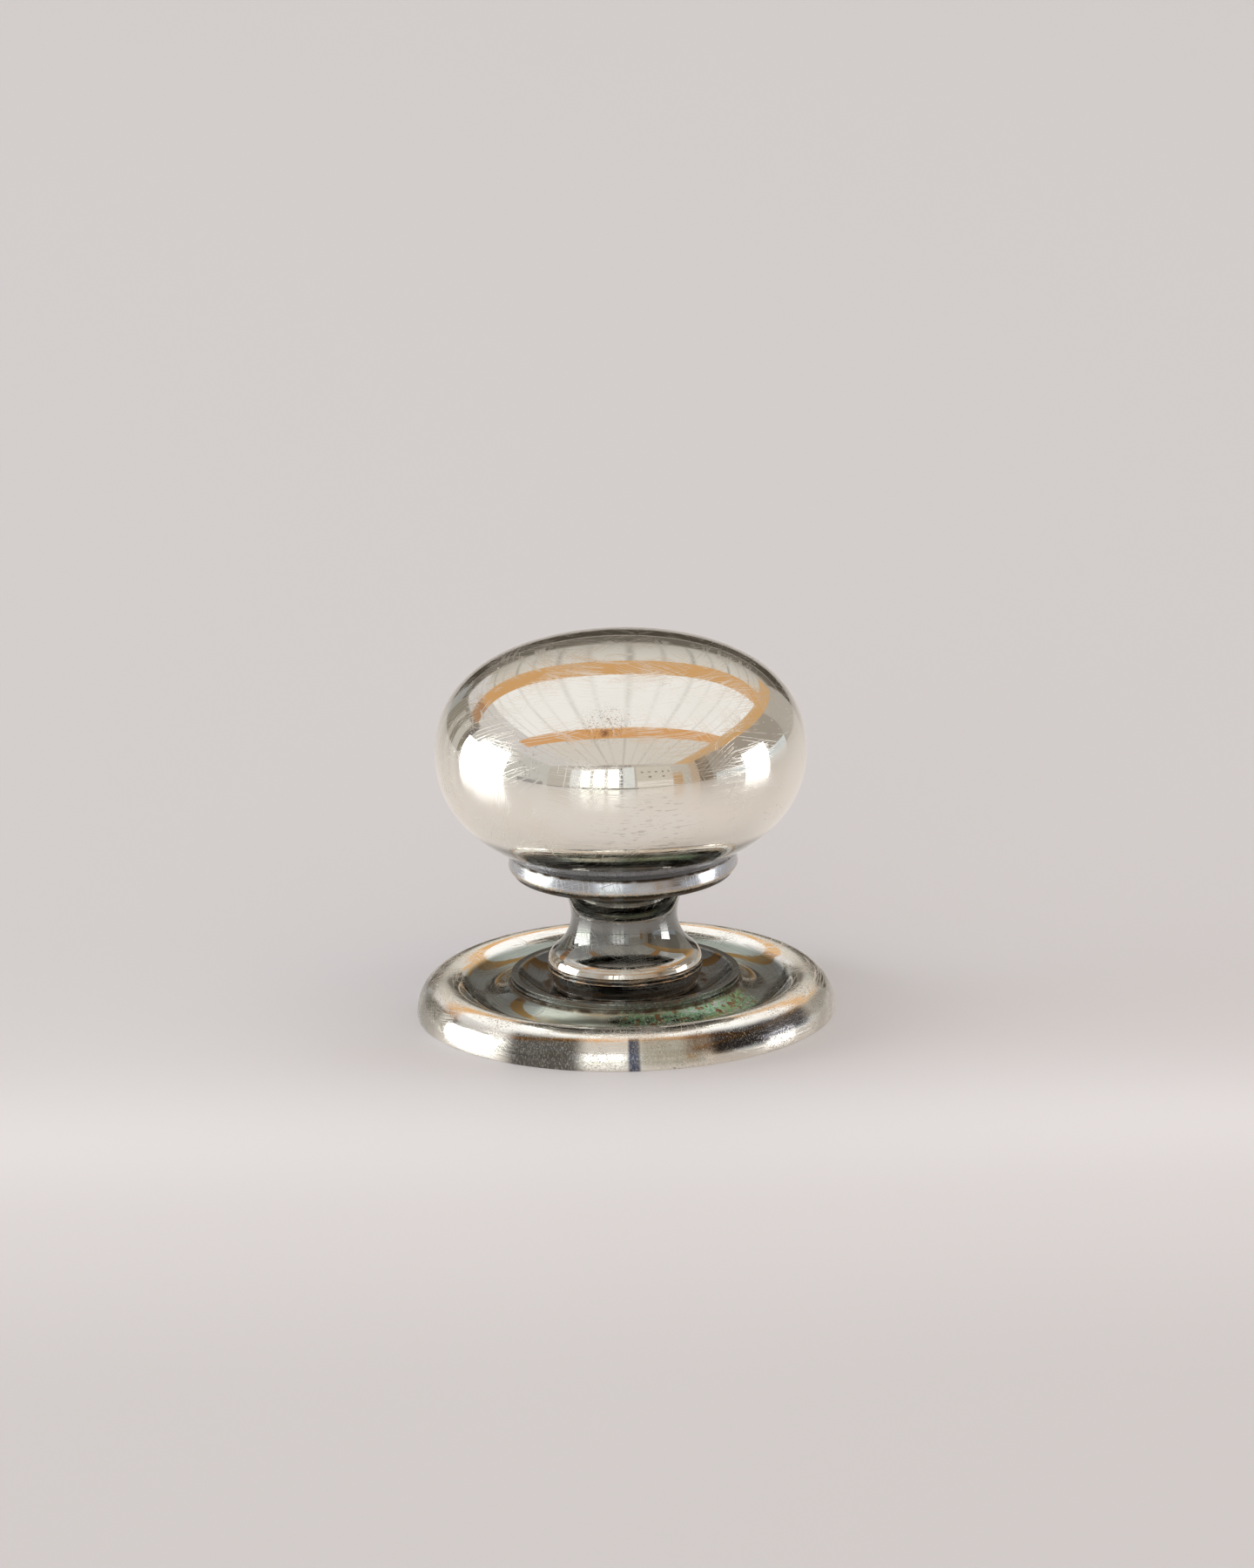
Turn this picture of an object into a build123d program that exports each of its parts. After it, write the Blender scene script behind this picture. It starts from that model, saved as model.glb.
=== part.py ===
from build123d import *
from math import asin, cos, degrees, radians, sin, sqrt
import os

# Cupboard knob with its separate back plate, in millimetres.
# The origin is the centre of the plate's flat underside, and the knob stands up along +Z.
# Both pieces are turned, so each one is half a section revolved about Z.

# Back plate, from its outer edge inwards
plate_diameter = 42.6
plate_edge_height = 0.3      # short upright edge under the rim
rim_crest_height = 3.8
rim_width = 2.9              # from the outer edge in to the crest
rim_inner_radius = 2.2       # rounding from the crest down into the hollow
hollow_slope = 45.0          # degrees, where the rim's rounding turns into the hollow
bolt_hole_diameter = 4.6     # clearance for an M4 bolt
edge_break = 0.12            # small rounding of the ring's polished corners

# Raised ring and dished seat, from the knob's foot outwards
seat_height = 2.9            # floor that the foot stands on
seat_play = 1.25             # room round the foot, on the radius
dish_width = 2.65            # hollow slope from the seat up to the ring
dish_hollow = 0.22           # how far the slope hangs below a straight line
ring_height = 4.18
ring_land_width = 0.75       # flat top of the raised ring
ring_step_width = 0.1        # narrow step round the ring's outer side
ring_step_drop = 0.42        # from the top of the ring down to that step
ring_flank_height = 0.78     # outer side of the ring, down to the hollow

# Swelled foot of the knob
foot_diameter = 14.0         # where the knob stands on its seat
swell_diameter = 15.8        # widest line of the foot
swell_rise = 2.4             # from the seat up to the widest line
shoulder_radius = 2.0        # rounding above the widest line
shoulder_rise = 1.4
lower_line_rise = 2.1        # two fine turned lines, up from the seat
upper_line_rise = 2.6
turned_line_width = 0.2

# Neck
waist_diameter = 10.86
flare_height = 3.7           # hollow curve from the waist down to the foot's shoulder
cove_radius = 4.6            # hollow curve from the waist up to the collar

# Collar, from the end of the cove outwards and upwards
neck_ring_land = 1.17        # underside of the small square ring that ends the cove
neck_ring_height = 0.3
collar_under_width = 0.58    # sloped underside of the collar
collar_under_rise = 0.3
collar_height = 1.5
collar_draw = 0.34           # the collar's top stands in from its bottom
collar_bulge = 0.04
collar_edge_radius = 0.42    # rounding of the collar's lower edge
lip_overhang = 1.31          # sharp lower edge of the head, out from the collar
lip_height = 1.04

# Head
head_diameter = 38.0
head_under_height = 9.6      # from the lip up to the widest line
head_crown_height = 11.3     # from the widest line up to the top
crown_fullness = 0.64        # 0.55 is an ellipse, more is fuller
under_side_fullness = 0.49
under_lip_fullness = 0.64
lip_slope = 28.0             # degrees between the head's underside and level, at the lip
lip_edge_radius = 0.1

# Tapped fixing hole, up from the foot
thread_hole_diameter = 3.3   # tapping size for M4
thread_hole_depth = 12.0
drill_point_height = 0.95
thread_mouth_chamfer = 0.35

# Radii of the plate
plate_radius = plate_diameter / 2
crest_radius = plate_radius - rim_width
foot_radius = foot_diameter / 2
seat_radius = foot_radius + seat_play
ring_inner_radius = seat_radius + dish_width
ring_outer_radius = ring_inner_radius + ring_land_width
hollow_inner_radius = ring_outer_radius + ring_step_width

# Radii of the knob
swell_radius = swell_diameter / 2
shoulder_inset = shoulder_radius - sqrt(shoulder_radius**2 - shoulder_rise**2)
shoulder_top_radius = swell_radius - shoulder_inset
waist_radius = waist_diameter / 2
flare_reach = shoulder_top_radius - waist_radius
flare_radius = (flare_reach**2 + flare_height**2) / (2 * flare_reach)
cove_end_radius = waist_radius + cove_radius
neck_ring_radius = cove_end_radius + neck_ring_land
collar_bottom_radius = neck_ring_radius + collar_under_width
collar_top_radius = collar_bottom_radius - collar_draw
lip_radius = collar_top_radius + lip_overhang
head_radius = head_diameter / 2
thread_radius = thread_hole_diameter / 2

# Heights of the knob, each from the one below it
swell_z = seat_height + swell_rise
shoulder_top = swell_z + shoulder_rise
waist_z = shoulder_top + flare_height
cove_top = waist_z + cove_radius
neck_ring_top = cove_top + neck_ring_height
collar_bottom = neck_ring_top + collar_under_rise
collar_top = collar_bottom + collar_height
lip_z = collar_top + lip_height
widest_z = lip_z + head_under_height
top_z = widest_z + head_crown_height
thread_end = seat_height + thread_hole_depth
drill_point = thread_end + drill_point_height


def bowed(start, end, bow):
    """Arc from start to end with its middle off the straight line, to the left when bow is positive."""
    run = Vector(*end) - Vector(*start)
    middle = Vector(*start) + run * 0.5
    outward = Vector(-run.Y, run.X).normalized()
    return ThreePointArc(start, middle + outward * bow, end)


def turn(centre, radius, *angles):
    """Points on a circle in the section, one for each angle in degrees."""
    return [(centre[0] + radius * cos(radians(a)), centre[1] + radius * sin(radians(a))) for a in angles]


def swell_curve_radius():
    """Radius of the foot's lower curve, which stands upright at the widest line."""
    inset = swell_radius - foot_radius
    return (inset**2 + swell_rise**2) / (2 * inset)


def foot():
    """Tapped hole and swelled foot, from the drill point up to the foot's shoulder."""
    Polyline(
        (0, drill_point),
        (thread_radius, thread_end),
        (thread_radius, seat_height + thread_mouth_chamfer),
        (thread_radius + thread_mouth_chamfer, seat_height),
        (foot_radius, seat_height),
    )
    lower = swell_curve_radius()
    lower_sweep = degrees(asin(swell_rise / lower))
    ThreePointArc(*turn((swell_radius - lower, swell_z), lower, -lower_sweep, -lower_sweep / 2, 0))
    upper_sweep = degrees(asin(shoulder_rise / shoulder_radius))
    upper_centre = (swell_radius - shoulder_radius, swell_z)
    ThreePointArc(*turn(upper_centre, shoulder_radius, 0, upper_sweep / 2, upper_sweep))


def turned_line_places():
    """Points on the foot's curve where the two fine lines are cut."""
    places = []
    for rise in (lower_line_rise, upper_line_rise):
        above = rise - swell_rise
        curve = shoulder_radius if above > 0 else swell_curve_radius()
        places.append((swell_radius - curve + sqrt(curve**2 - above**2), seat_height + rise))
    return places


def neck():
    """Two hollow curves that meet upright at the waist."""
    flare_sweep = degrees(asin(flare_height / flare_radius))
    flare_centre = (waist_radius + flare_radius, waist_z)
    cove_centre = (cove_end_radius, waist_z)
    ThreePointArc(*turn(flare_centre, flare_radius, 180 + flare_sweep, 180 + flare_sweep / 2, 180))
    ThreePointArc(*turn(cove_centre, cove_radius, 180, 135, 90))


def collar():
    """Small square ring, collar, and the undercut slope up to the head's sharp lip."""
    Polyline(
        (cove_end_radius, cove_top),
        (neck_ring_radius, cove_top),
        (neck_ring_radius, neck_ring_top),
        (collar_bottom_radius, collar_bottom),
    )
    bowed((collar_bottom_radius, collar_bottom), (collar_top_radius, collar_top), -collar_bulge)
    Line((collar_top_radius, collar_top), (lip_radius, lip_z))


def head():
    """Underside and crown, which meet upright at the head's widest line."""
    lip_pull = under_lip_fullness * (head_radius - lip_radius)
    Bezier(
        (lip_radius, lip_z),
        (lip_radius + lip_pull * cos(radians(lip_slope)), lip_z + lip_pull * sin(radians(lip_slope))),
        (head_radius, widest_z - under_side_fullness * head_under_height),
        (head_radius, widest_z),
    )
    Bezier(
        (head_radius, widest_z),
        (head_radius, widest_z + crown_fullness * head_crown_height),
        (crown_fullness * head_radius, top_z),
        (0, top_z),
    )


def circles_at(part, *heights):
    """Circular edges that lie at the given heights."""
    circles = part.edges().filter_by(GeomType.CIRCLE)
    return [edge for edge in circles if any(abs(edge.center().Z - z) < 0.001 for z in heights)]


def make_knob():
    """Head, collar, neck and foot, turned in one piece."""
    with BuildPart() as knob:
        with BuildSketch(Plane.XZ):
            with BuildLine():
                foot()
                neck()
                collar()
                head()
                Line((0, top_z), (0, drill_point))
            make_face()
        revolve(axis=Axis.Z)
        fillet(circles_at(knob, lip_z), lip_edge_radius)
        fillet(circles_at(knob, collar_bottom), collar_edge_radius)
        with BuildSketch(Plane.XZ):
            with Locations(*turned_line_places()):
                Rectangle(turned_line_width / sqrt(2), turned_line_width / sqrt(2), rotation=45)
        revolve(axis=Axis.Z, mode=Mode.SUBTRACT)
    return knob.part


def rim_and_hollow():
    """Outer quarter of the rim, its inner rounding, and the hollow that runs up to the raised ring."""
    inner_z = ring_height - ring_flank_height
    rim_centre = (crest_radius, rim_crest_height - rim_inner_radius)
    rounding = turn(rim_centre, rim_inner_radius, 90, 90 + hollow_slope / 2, 90 + hollow_slope)
    blend_radius, blend_z = rounding[-1]
    slope = radians(hollow_slope)
    across = blend_radius - hollow_inner_radius
    rise = inner_z - blend_z
    # The hollow is one arc, tangent to the rounding and ending at the foot of the ring
    hollow_radius = (across**2 + rise**2) / (2 * (across * sin(slope) + rise * cos(slope)))
    hollow_centre = (blend_radius - hollow_radius * sin(slope), blend_z + hollow_radius * cos(slope))
    floor_point = (hollow_centre[0], hollow_centre[1] - hollow_radius)
    EllipticalCenterArc(
        (crest_radius, plate_edge_height),
        rim_width,
        rim_crest_height - plate_edge_height,
        start_angle=0,
        arc_size=90,
    )
    ThreePointArc(*rounding)
    ThreePointArc(rounding[-1], floor_point, (hollow_inner_radius, inner_z))


def ring_and_seat():
    """Stepped ring, the dished slope inside it, the seat, the bolt hole and the flat underside."""
    hole_radius = bolt_hole_diameter / 2
    step_z = ring_height - ring_step_drop
    Polyline(
        (hollow_inner_radius, ring_height - ring_flank_height),
        (hollow_inner_radius, step_z),
        (ring_outer_radius, step_z),
        (ring_outer_radius, ring_height),
        (ring_inner_radius, ring_height),
    )
    bowed((ring_inner_radius, ring_height), (seat_radius, seat_height), dish_hollow)
    Polyline(
        (seat_radius, seat_height),
        (hole_radius, seat_height),
        (hole_radius, 0),
        (plate_radius, 0),
        (plate_radius, plate_edge_height),
    )


def make_back_plate():
    """Round plate with a rounded rim, a hollow, a raised ring and a dished seat."""
    with BuildPart() as plate:
        with BuildSketch(Plane.XZ):
            with BuildLine():
                rim_and_hollow()
                ring_and_seat()
            make_face()
        revolve(axis=Axis.Z)
        fillet(circles_at(plate, ring_height), edge_break)
    return plate.part


os.makedirs("parts", exist_ok=True)
export_step(make_knob(), "parts/knob.step")
export_step(make_back_plate(), "parts/back_plate.step")
print("knob top at", round(top_z, 2), "mm")
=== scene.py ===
from math import asin, atan2, cos, degrees, pi, radians, sin, tan

import bpy
from bpy.props import FloatProperty, FloatVectorProperty, IntProperty, PointerProperty
from bpy.types import Operator, Panel, PropertyGroup
from mathutils import Matrix, Vector


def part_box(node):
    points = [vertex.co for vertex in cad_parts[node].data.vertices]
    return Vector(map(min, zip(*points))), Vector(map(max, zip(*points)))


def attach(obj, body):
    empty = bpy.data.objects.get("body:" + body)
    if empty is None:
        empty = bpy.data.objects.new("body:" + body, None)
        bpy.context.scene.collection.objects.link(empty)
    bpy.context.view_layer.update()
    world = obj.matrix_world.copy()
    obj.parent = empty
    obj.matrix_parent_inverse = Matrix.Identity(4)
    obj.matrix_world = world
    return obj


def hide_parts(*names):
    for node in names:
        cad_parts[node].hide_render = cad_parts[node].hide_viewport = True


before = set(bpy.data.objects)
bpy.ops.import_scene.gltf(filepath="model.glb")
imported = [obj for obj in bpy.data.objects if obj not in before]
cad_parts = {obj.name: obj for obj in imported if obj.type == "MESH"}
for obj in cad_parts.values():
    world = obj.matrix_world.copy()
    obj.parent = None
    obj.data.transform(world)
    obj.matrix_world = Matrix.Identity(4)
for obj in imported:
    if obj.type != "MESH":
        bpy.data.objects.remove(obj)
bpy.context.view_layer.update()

bl_info = {
    "name": "Cupboard knob",
    "version": (1, 0, 0),
    "blender": (4, 5, 0),
    "location": "3D View > Sidebar > Cupboard knob",
    "description": "Turns a nickel cupboard knob and its back plate, and sets them on a studio table",
    "category": "Object",
}

MM = 0.001
PLATE_LOW, PLATE_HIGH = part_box("back_plate")
KNOB_LOW, KNOB_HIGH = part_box("knob")


# Sizes and colours


def length(name, text, default, most=1.0):
    """A size in metres that shows in the scene's own unit."""
    return FloatProperty(
        name=name, description=text, default=default, min=0.0, max=most, precision=5,
        subtype="DISTANCE", unit="LENGTH",
    )


def share(name, text, default):
    """A share from none to all."""
    return FloatProperty(name=name, description=text, default=default, min=0.0, max=1.0, subtype="FACTOR")


def colour(name, text, default):
    """A linear colour."""
    return FloatVectorProperty(
        name=name, description=text, default=default, min=0.0, max=1.0, size=3, subtype="COLOR"
    )


class KnobSizes(PropertyGroup):
    """Sizes of the knob"""

    head_diameter: length("Head", "Width of the head across its widest line", KNOB_HIGH.x - KNOB_LOW.x)
    top_height: length("Top", "Height of the crown above the plate's underside", KNOB_HIGH.z)
    seat_height: length("Foot", "Height of the foot's underside", KNOB_LOW.z)
    foot_diameter: length("Foot width", "Width of the foot where it stands on the plate", 14.0 * MM)
    swell_diameter: length("Swell", "Width of the swelled foot across its widest line", 15.8 * MM)
    waist_diameter: length("Waist", "Width of the neck at its narrowest", 10.86 * MM)
    tapped_diameter: length("Tapped hole", "Tapping size of the fixing hole", 3.3 * MM)
    edge_break: length("Edge break", "Rounding that polishing has left on the sharp edges", 0.055 * MM)


class PlateSizes(PropertyGroup):
    """Sizes of the back plate"""

    diameter: length("Plate", "Width of the back plate", PLATE_HIGH.x - PLATE_LOW.x)
    rim_width: length("Rim", "Width of the rim, from the outer edge to its crest", 2.9 * MM)
    rim_height: length("Rim crest", "Height of the rim's crest", 3.8 * MM)
    ring_height: length("Ring", "Height of the raised ring", PLATE_HIGH.z)
    bolt_hole: length("Bolt hole", "Clearance hole for the fixing bolt", 4.6 * MM)
    edge_break: length("Edge break", "Rounding that polishing has left on the sharp edges", 0.05 * MM)


class NickelFinish(PropertyGroup):
    """Colours and wear of the nickel"""

    metal: colour("Nickel", "Colour of the clean plating", (0.8, 0.77, 0.72))
    # The aged nickel colour is also painted shade: it darkens the head's underside, the neck and the inside
    # of the plate's rim
    aged: colour("Aged nickel", "Colour of the plating out of reach of hands and cloths", (0.24, 0.24, 0.225))
    grime: colour("Grime", "Colour of the dirt that stays in the corners", (0.075, 0.05, 0.03))
    scratches: share("Scratches", "How strongly the fine scratches show", 0.6)
    tarnish: share("Tarnish", "How far the plating has dulled in patches", 0.35)
    pitting: share("Pitting", "How deeply the rim of the plate is pitted", 0.7)


class StudioSetup(PropertyGroup):
    """Camera and room"""

    elevation: FloatProperty(
        name="Camera elevation", description="Height of the camera as an angle above the table",
        default=radians(16.8), subtype="ANGLE", unit="ROTATION",
    )
    roll: FloatProperty(
        name="Camera roll", description="How far the camera leans sideways",
        default=radians(1.2), subtype="ANGLE", unit="ROTATION",
    )
    distance: length("Camera distance", "From the knob to the camera", 3.0, 10.0)
    room_height: length("Ceiling", "Height of the white ceiling above the table", 0.9, 5.0)
    table: colour("Table", "Colour of the pale table", (0.69, 0.7, 0.75))
    turns: IntProperty(
        name="Facets", description="Steps round each turned piece", default=288, min=32, max=360
    )


# Section drawing


def at(radius, height):
    """A point of a section, in metres."""
    return Vector((radius, 0.0, height))


def line(start, end, margin=0.12 * MM):
    """Straight run, with a narrow strip at each end so that the broken edge stays narrow."""
    run = end - start
    if run.length < 4 * margin:
        return [end]
    step = run.normalized() * margin
    return [start + step, end - step, end]


def arc(centre, radius, first, last, steps):
    """Round run about a centre, with its angles in degrees."""
    angles = [radians(first + (last - first) * i / steps) for i in range(1, steps + 1)]
    return [centre + at(radius * cos(a), radius * sin(a)) for a in angles]


def bowed(start, end, bow, steps):
    """Round run from start to end whose middle stands off to the left by bow."""
    run = end - start
    left = at(-run.z, run.x).normalized()
    half = run.length / 2
    radius = (half**2 + bow**2) / (2 * abs(bow))
    side = 1 if bow > 0 else -1
    centre = (start + end) / 2 + left * side * (abs(bow) - radius)
    first = atan2((start - centre).z, (start - centre).x)
    last = atan2((end - centre).z, (end - centre).x)
    sweep = (last - first + pi) % (2 * pi) - pi
    points = [first + sweep * i / steps for i in range(1, steps + 1)]
    return [centre + at(radius * cos(a), radius * sin(a)) for a in points[:-1]] + [end]


def rounded(before, corner, after, radius, steps):
    """Round run that takes the place of a corner standing out to the left."""
    back, on = (before - corner).normalized(), (after - corner).normalized()
    half = back.angle(on) / 2
    reach = radius / tan(half)
    bow = reach * cos(half) - radius / sin(half) + radius
    first = corner + back * reach
    return [first] + bowed(first, corner + on * reach, bow, steps)


def grooved(centre, radius, first, last, groove, width, steps):
    """Round run with one fine V groove across it, with its angles in degrees."""
    half = degrees(width / 2 / radius)
    bottom = radius - width / 2
    deep = centre + at(bottom * cos(radians(groove)), bottom * sin(radians(groove)))
    above = arc(centre, radius, first, groove + half, steps)
    past = arc(centre, radius, groove + half, groove - half, 1)
    return above + [deep] + past + arc(centre, radius, groove - half, last, steps)


def swept(start, pull, push, end, steps):
    """Free curve that leaves start towards pull and reaches end from push."""
    found = []
    for i in range(1, steps + 1):
        t = i / steps
        u = 1 - t
        found.append(start * u**3 + pull * 3 * u**2 * t + push * 3 * u * t**2 + end * t**3)
    return found


def knob_section(sizes):
    """Half section of the knob, from the crown down and round to the drill point."""
    head = sizes.head_diameter / 2
    foot = sizes.foot_diameter / 2
    waist = sizes.waist_diameter / 2
    tapped = sizes.tapped_diameter / 2
    seat = sizes.seat_height
    top = sizes.top_height
    crown, under = 11.3 * MM, 9.6 * MM
    crown_fullness, under_fullness, lip_slope = 0.64, 0.49, radians(28)
    collar_bulge, collar_edge = 0.03 * MM, 0.42 * MM
    widest = at(head, top - crown)
    lip = at(12.75 * MM, widest.z - under)
    collar_top = lip + at(-1.31 * MM, -1.04 * MM)
    collar_corner = collar_top + at(0.34 * MM, -1.5 * MM)
    ring_top = collar_corner + at(-0.58 * MM, -0.3 * MM)
    ring_bottom = ring_top + at(0, -0.3 * MM)
    cove_end = ring_bottom + at(-1.17 * MM, 0)
    cove = 4.6 * MM
    waist_z = cove_end.z - cove
    swell = at(sizes.swell_diameter / 2, seat + 2.4 * MM)
    shoulder, shoulder_rise = 2.0 * MM, 1.4 * MM
    shoulder_turn = asin(shoulder_rise / shoulder)
    shoulder_top = swell + at(shoulder * (cos(shoulder_turn) - 1), shoulder_rise)
    reach, drop = shoulder_top.x - waist, waist_z - shoulder_top.z
    flare = (reach**2 + drop**2) / (2 * reach)
    inset, stand = swell.x - foot, swell.z - seat
    lower = (inset**2 + stand**2) / (2 * inset)
    line_width, line_above, line_below = 0.2 * MM, 0.2 * MM, 0.3 * MM
    upper_line = degrees(asin(line_above / shoulder))
    lower_line = -degrees(asin(line_below / lower))
    mouth, drill_point = 0.35 * MM, 0.95 * MM
    thread_end = seat + 12.0 * MM

    points = [at(0, top)]
    crown_pull = at(crown_fullness * head, top)
    points += swept(points[-1], crown_pull, at(head, widest.z + crown_fullness * crown), widest, 60)
    pull = crown_fullness * (head - lip.x)
    lip_pull = lip + at(pull * cos(lip_slope), pull * sin(lip_slope))
    points += swept(widest, at(head, widest.z - under_fullness * under), lip_pull, lip, 40)
    points += line(lip, collar_top)
    edge = rounded(collar_top, collar_corner, ring_top, collar_edge, 8)
    points += bowed(collar_top, edge[0], collar_bulge, 10) + edge[1:]
    points += line(points[-1], ring_top)
    points += line(ring_top, ring_bottom)
    points += line(ring_bottom, cove_end)
    points += arc(at(cove_end.x, waist_z), cove, 90, 180, 26)
    points += arc(at(waist + flare, waist_z), flare, 180, 180 + degrees(asin(drop / flare)), 22)
    points += grooved(
        at(swell.x - shoulder, swell.z), shoulder, degrees(shoulder_turn), 0, upper_line, line_width, 8
    )
    points += grooved(
        at(swell.x - lower, swell.z), lower, 0, -degrees(asin(stand / lower)), lower_line, line_width, 10
    )
    points += line(points[-1], at(tapped + mouth, seat))
    points += line(points[-1], at(tapped, seat + mouth))
    points += line(points[-1], at(tapped, thread_end))
    points += line(points[-1], at(0, thread_end + drill_point))
    return points


def plate_section(sizes):
    """Closed half section of the plate, from the bolt hole's lower edge out, over the rim and back."""
    outer = sizes.diameter / 2
    crest = at(outer - sizes.rim_width, sizes.rim_height)
    edge = 0.3 * MM
    hole = sizes.bolt_hole / 2
    seat = KNOB_LOW.z
    ring = sizes.ring_height
    ring_out, ring_in, seat_out, seat_shade = 11.65 * MM, 10.9 * MM, 8.25 * MM, 7.3 * MM
    step_width, step_drop, flank, dish_hollow = 0.1 * MM, 0.42 * MM, 0.78 * MM, 0.22 * MM
    rounding = 2.2 * MM
    slope = radians(45)
    crest_centre = crest - at(0, rounding)
    blend = crest_centre + at(-rounding * sin(slope), rounding * cos(slope))
    ring_foot = at(ring_out + step_width, ring - flank)
    across = blend.x - ring_foot.x
    rise = ring_foot.z - blend.z
    hollow = (across**2 + rise**2) / (2 * (across * sin(slope) + rise * cos(slope)))
    centre = blend + at(-hollow * sin(slope), hollow * cos(slope))
    last = degrees(atan2((ring_foot - centre).z, (ring_foot - centre).x))

    points = [at(hole, 0)]
    points += line(points[-1], at(outer, 0))
    points += line(points[-1], at(outer, edge))
    steps = 32
    for i in range(1, steps + 1):
        turned = radians(90 * i / steps)
        points.append(at(crest.x + sizes.rim_width * cos(turned), edge + (crest.z - edge) * sin(turned)))
    points += arc(crest_centre, rounding, 90, 135, 14)
    points += arc(centre, hollow, -45, last - 360 if last > 0 else last, 30)
    points[-1] = ring_foot
    points += line(points[-1], at(ring_foot.x, ring - step_drop))
    points += line(points[-1], at(ring_out, ring - step_drop))
    points += line(points[-1], at(ring_out, ring))
    points += line(points[-1], at(ring_in, ring))
    points += bowed(points[-1], at(seat_out, seat), dish_hollow, 12)
    points += line(points[-1], at(seat_shade, seat))
    points += line(points[-1], at(hole, seat))
    points += line(points[-1], at(hole, 0))
    return points


# Modelling


def deselect_all():
    """Leaves edit mode with nothing selected."""
    if bpy.context.object and bpy.context.object.mode != "OBJECT":
        bpy.ops.object.mode_set(mode="OBJECT")
    bpy.ops.object.select_all(action="DESELECT")


def turned_piece(name, section, turns, edge_break):
    """Draws the half section point by point, spins it round Z and breaks its sharp edges."""
    deselect_all()
    bpy.ops.mesh.primitive_plane_add(size=1 * MM, location=(0, 0, 0))
    piece = bpy.context.object
    piece.name = piece.data.name = name
    bpy.ops.object.mode_set(mode="EDIT")
    bpy.ops.mesh.select_all(action="SELECT")
    bpy.ops.mesh.merge(type="CENTER")
    bpy.ops.transform.translate(value=section[0])
    for start, end in zip(section, section[1:]):
        bpy.ops.mesh.extrude_region_move(TRANSFORM_OT_translate={"value": end - start})
    bpy.ops.mesh.select_all(action="SELECT")
    bpy.ops.mesh.spin(steps=turns, angle=2 * pi, center=(0, 0, 0), axis=(0, 0, 1))
    bpy.ops.mesh.select_all(action="SELECT")
    bpy.ops.mesh.remove_doubles(threshold=1e-7)
    bpy.ops.mesh.normals_make_consistent(inside=False)
    bpy.ops.object.mode_set(mode="OBJECT")
    edges = piece.modifiers.new("broken edges", "BEVEL")
    edges.width = edge_break
    edges.segments = 3
    edges.limit_method = "ANGLE"
    edges.angle_limit = radians(22)
    bpy.ops.object.modifier_apply(modifier=edges.name)
    bpy.ops.object.shade_smooth_by_angle(angle=radians(40))
    return piece


def facing(piece, material, test):
    """Gives the material to the faces whose middle and direction pass the test."""
    piece.data.materials.append(material)
    place = len(piece.data.materials) - 1
    for face in piece.data.polygons:
        if test(face.center, face.normal):
            face.material_index = place


# Node helpers


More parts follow.
